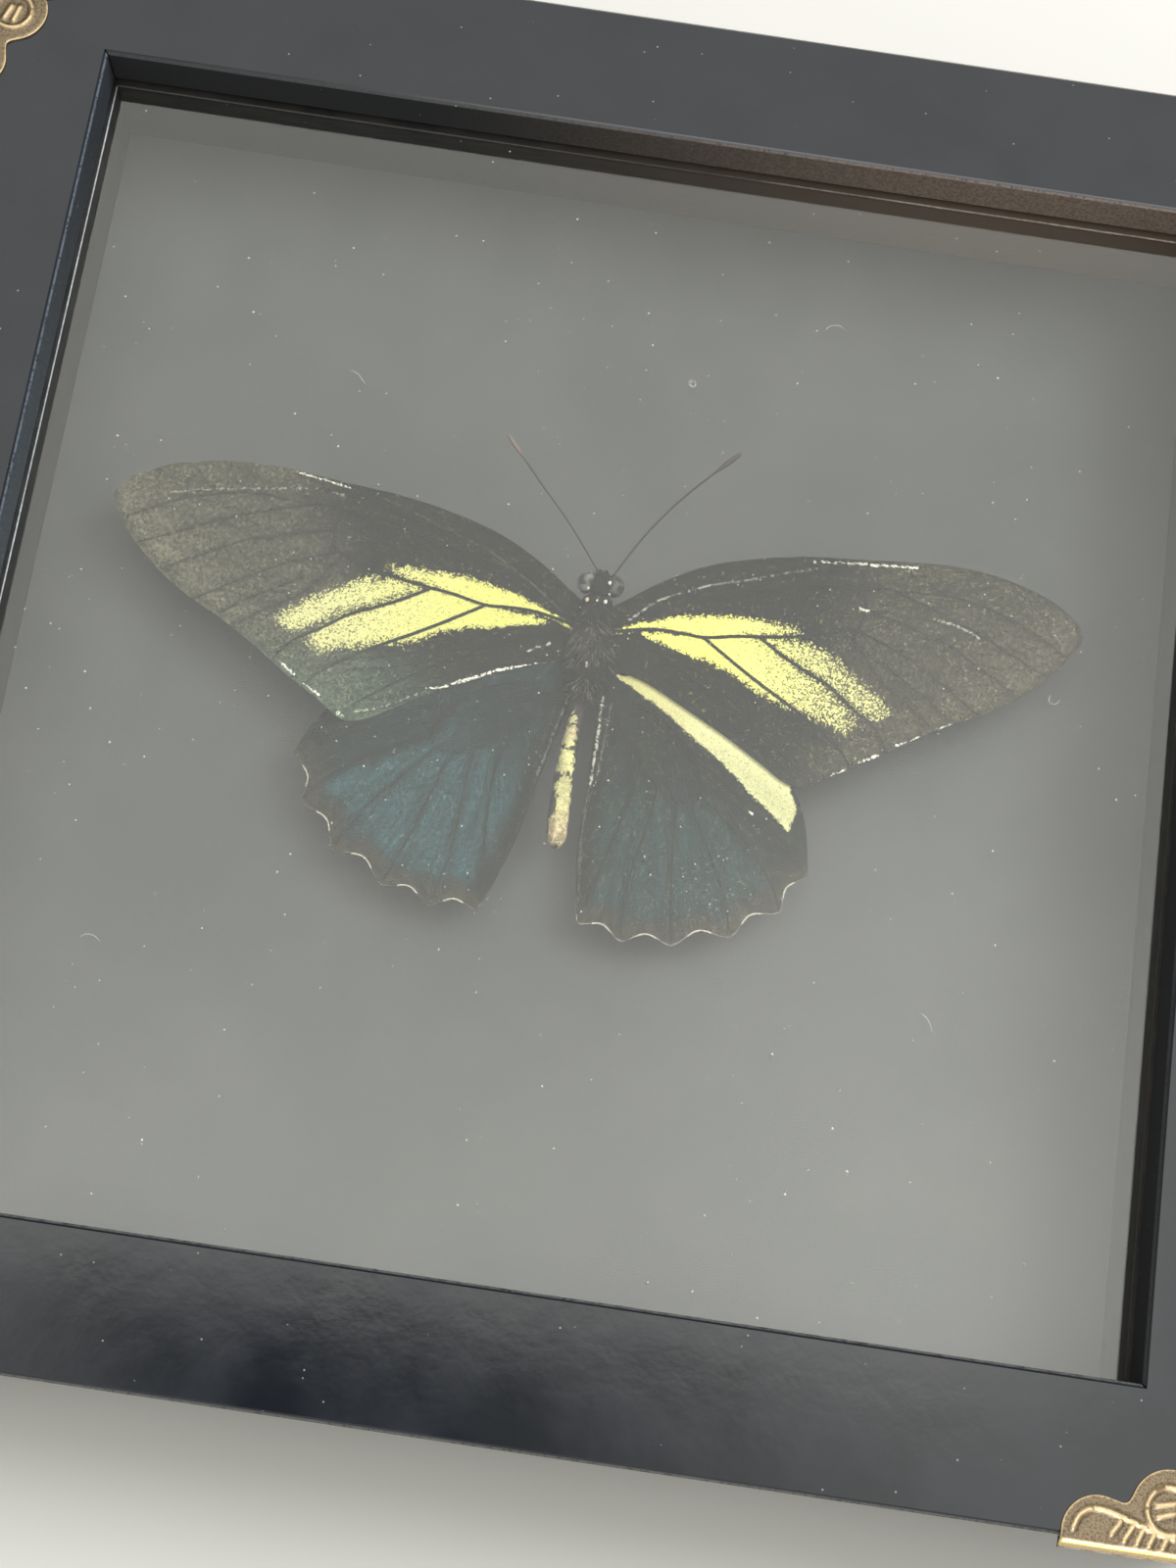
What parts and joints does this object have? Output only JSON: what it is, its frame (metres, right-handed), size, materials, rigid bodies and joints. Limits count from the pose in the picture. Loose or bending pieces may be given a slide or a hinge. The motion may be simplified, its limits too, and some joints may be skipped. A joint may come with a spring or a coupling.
{
  "type": "framed butterfly specimen",
  "caption": "Spread black and yellow swallowtail butterfly set on black card behind glass, in a square black box frame with stamped brass corners.",
  "frame": {"origin": "middle of the frame's back, on the plane of the rails' back faces", "axes": "+Z out of the front, +Y towards the butterfly's head and the hanger, +X to the right as seen from the front"},
  "size_m": [0.154, 0.154, 0.0262],
  "materials": {
    "black_lacquer": "satin black lacquer on wood, fine pits and dust, paler along the arrises",
    "clear_glass": "clear float glass with specks of dust on it",
    "black_card": "matt black card",
    "spacer_strip": "black-faced card strip with a pale raw edge",
    "brown_hardboard": "smooth brown hardboard",
    "zinc_steel": "zinc-plated stamped steel",
    "aged_brass": "stamped brass plate, dulled, bright on its raised lines",
    "forewing_scales": "black-brown wing scales with yellow patches and white fringe",
    "hindwing_scales": "black wing scales with a blue-green sheen, white scallops",
    "body_fur": "black-brown fur with white dots",
    "abdomen_scales": "pale yellow scales with black cross marks",
    "antenna_black": "black, matt",
    "white_foam": "white foam block"
  },
  "bodies": {
    "root": {"frame_rail_bottom": "black_lacquer", "frame_rail_right": "black_lacquer", "frame_rail_top": "black_lacquer", "frame_rail_left": "black_lacquer", "spacer_bottom": "spacer_strip", "spacer_right": "spacer_strip", "spacer_top": "spacer_strip", "spacer_left": "spacer_strip", "retaining_point_bottom_a": "zinc_steel", "retaining_point_bottom_b": "zinc_steel", "retaining_point_right_a": "zinc_steel", "retaining_point_right_b": "zinc_steel", "retaining_point_top_a": "zinc_steel", "retaining_point_top_b": "zinc_steel", "retaining_point_left_a": "zinc_steel", "retaining_point_left_b": "zinc_steel", "glass_pane": "clear_glass", "mount_board": "black_card", "backing_board": "brown_hardboard", "sawtooth_hanger": "zinc_steel", "hanger_nail_left": "zinc_steel", "hanger_nail_right": "zinc_steel", "corner_bracket_bottom_right": "aged_brass", "corner_bracket_top_right": "aged_brass", "corner_bracket_top_left": "aged_brass", "corner_bracket_bottom_left": "aged_brass", "forewing_left": "forewing_scales", "hindwing_left": "hindwing_scales", "antenna_left": "antenna_black", "forewing_right": "forewing_scales", "hindwing_right": "hindwing_scales", "antenna_right": "antenna_black", "head": "body_fur", "thorax": "body_fur", "abdomen": "abdomen_scales", "riser_block": "white_foam"}
  },
  "joints": []
}
